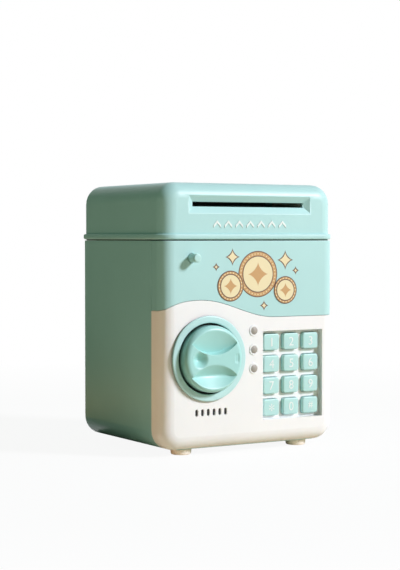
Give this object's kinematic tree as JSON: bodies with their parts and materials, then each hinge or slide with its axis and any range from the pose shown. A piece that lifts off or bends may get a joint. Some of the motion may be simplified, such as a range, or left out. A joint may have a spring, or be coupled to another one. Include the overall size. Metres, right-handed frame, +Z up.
{
  "type": "toy cash machine savings bank",
  "caption": "Child's money box shaped like a small safe: keypad door with dial lock and lamps, powered banknote slot in the lid, coin slot on top, round feet",
  "frame": {"origin": "on the floor, under the middle of the whole object's box", "axes": "+Z up; the door, dial and slot face -Y; +X is to the right of someone facing the door"},
  "size_m": [0.1422, 0.1262, 0.1827],
  "materials": {
    "mint_plastic": "satin gloss, moulded",
    "white_plastic": "satin gloss, moulded",
    "cream_plastic": "soft satin",
    "lens_plastic": "clouded lamp window",
    "rubber": "matt",
    "circuit": "lacquered board",
    "black_plastic": "matt",
    "steel": "plated",
    "brass": "cut brass",
    "cell_wrap": "plain wrapped cell"
  },
  "bodies": {
    "case": {"body_shell": "mint_plastic", "top_cover": "mint_plastic", "deck_plate": "white_plastic", "hinge_pin": "steel", "feed_motor": "steel", "note_guide": "white_plastic", "foot_front_left": "cream_plastic", "foot_front_right": "cream_plastic", "foot_back_left": "cream_plastic", "foot_back_right": "cream_plastic", "lid_screw_front_left": "steel", "lid_screw_front_right": "steel", "lid_screw_back_left": "steel", "lid_screw_back_right": "steel"},
    "door": {"door_upper_panel": "mint_plastic", "door_back_cover": "mint_plastic", "dial_ring": "mint_plastic", "battery_cover": "mint_plastic", "door_lower_panel": "white_plastic", "light_top": "lens_plastic", "light_middle": "lens_plastic", "light_bottom": "lens_plastic", "keypad_mat": "rubber", "circuit_board": "circuit", "battery_box": "black_plastic", "lock_solenoid": "black_plastic", "button_switch": "black_plastic", "speaker": "black_plastic", "battery_screw": "steel", "cover_screw_lower_left": "steel", "cover_screw_lower_right": "steel", "cover_screw_upper_left": "steel", "cover_screw_upper_right": "steel", "battery_cell_1": "cell_wrap", "battery_cell_2": "cell_wrap", "battery_cell_3": "cell_wrap"},
    "dial": {"dial_knob": "mint_plastic", "lock_disc": "white_plastic", "lock_tongue": "steel", "tongue_screw": "steel"},
    "plunger": {"solenoid_plunger": "steel"},
    "feed": {"feed_roller": "rubber", "roller_gear": "white_plastic"},
    "idler": {"idler_roller": "rubber"},
    "pinion": {"motor_pinion": "brass"},
    "button": {"music_button": "mint_plastic"},
    "key_1_body": {"key_1": "mint_plastic"},
    "key_2_body": {"key_2": "mint_plastic"},
    "key_3_body": {"key_3": "mint_plastic"},
    "key_4_body": {"key_4": "mint_plastic"},
    "key_5_body": {"key_5": "mint_plastic"},
    "key_6_body": {"key_6": "mint_plastic"},
    "key_7_body": {"key_7": "mint_plastic"},
    "key_8_body": {"key_8": "mint_plastic"},
    "key_9_body": {"key_9": "mint_plastic"},
    "key_star_body": {"key_star": "mint_plastic"},
    "key_0_body": {"key_0": "mint_plastic"},
    "key_hash_body": {"key_hash": "mint_plastic"}
  },
  "joints": [
    {"name": "door_hinge", "type": "hinge", "parent": "case", "child": "door", "pos_m": [0.067, -0.03875, 0.0719], "axis": [0, 0, 1], "range_deg": [0, 105]},
    {"name": "dial_turn", "type": "hinge", "parent": "door", "child": "dial", "pos_m": [-0.0346, -0.05405, 0.065], "axis": [0, -1, 0], "range_deg": [0, 90]},
    {"name": "plunger_slide", "type": "slide", "parent": "door", "child": "plunger", "axis": [0, 0, -1], "range_m": [0, 0.0045], "stiffness_N_per_m": 200},
    {"name": "feed_roller_spin", "type": "hinge", "parent": "case", "child": "feed", "pos_m": [0, -0.0254, 0.16295], "axis": [1, 0, 0], "continuous": true},
    {"name": "idler_roller_spin", "type": "hinge", "parent": "case", "child": "idler", "pos_m": [0, -0.0254, 0.17245], "axis": [1, 0, 0], "continuous": true},
    {"name": "motor_pinion_spin", "type": "hinge", "parent": "case", "child": "pinion", "pos_m": [0, -0.0376, 0.1526], "axis": [1, 0, 0], "continuous": true},
    {"name": "music_button_press", "type": "slide", "parent": "door", "child": "button", "axis": [0, 1, 0], "range_m": [0, 0.0015], "stiffness_N_per_m": 300},
    {"name": "key_1_press", "type": "slide", "parent": "door", "child": "key_1_body", "axis": [0, 1, 0], "range_m": [0, 0.0015], "stiffness_N_per_m": 300},
    {"name": "key_2_press", "type": "slide", "parent": "door", "child": "key_2_body", "axis": [0, 1, 0], "range_m": [0, 0.0015], "stiffness_N_per_m": 300},
    {"name": "key_3_press", "type": "slide", "parent": "door", "child": "key_3_body", "axis": [0, 1, 0], "range_m": [0, 0.0015], "stiffness_N_per_m": 300},
    {"name": "key_4_press", "type": "slide", "parent": "door", "child": "key_4_body", "axis": [0, 1, 0], "range_m": [0, 0.0015], "stiffness_N_per_m": 300},
    {"name": "key_5_press", "type": "slide", "parent": "door", "child": "key_5_body", "axis": [0, 1, 0], "range_m": [0, 0.0015], "stiffness_N_per_m": 300},
    {"name": "key_6_press", "type": "slide", "parent": "door", "child": "key_6_body", "axis": [0, 1, 0], "range_m": [0, 0.0015], "stiffness_N_per_m": 300},
    {"name": "key_7_press", "type": "slide", "parent": "door", "child": "key_7_body", "axis": [0, 1, 0], "range_m": [0, 0.0015], "stiffness_N_per_m": 300},
    {"name": "key_8_press", "type": "slide", "parent": "door", "child": "key_8_body", "axis": [0, 1, 0], "range_m": [0, 0.0015], "stiffness_N_per_m": 300},
    {"name": "key_9_press", "type": "slide", "parent": "door", "child": "key_9_body", "axis": [0, 1, 0], "range_m": [0, 0.0015], "stiffness_N_per_m": 300},
    {"name": "key_star_press", "type": "slide", "parent": "door", "child": "key_star_body", "axis": [0, 1, 0], "range_m": [0, 0.0015], "stiffness_N_per_m": 300},
    {"name": "key_0_press", "type": "slide", "parent": "door", "child": "key_0_body", "axis": [0, 1, 0], "range_m": [0, 0.0015], "stiffness_N_per_m": 300},
    {"name": "key_hash_press", "type": "slide", "parent": "door", "child": "key_hash_body", "axis": [0, 1, 0], "range_m": [0, 0.0015], "stiffness_N_per_m": 300}
  ],
  "couplings": [
    {"joint": "motor_pinion_spin", "follows": "feed_roller_spin", "ratio": -3},
    {"joint": "idler_roller_spin", "follows": "feed_roller_spin", "ratio": -1.25}
  ]
}
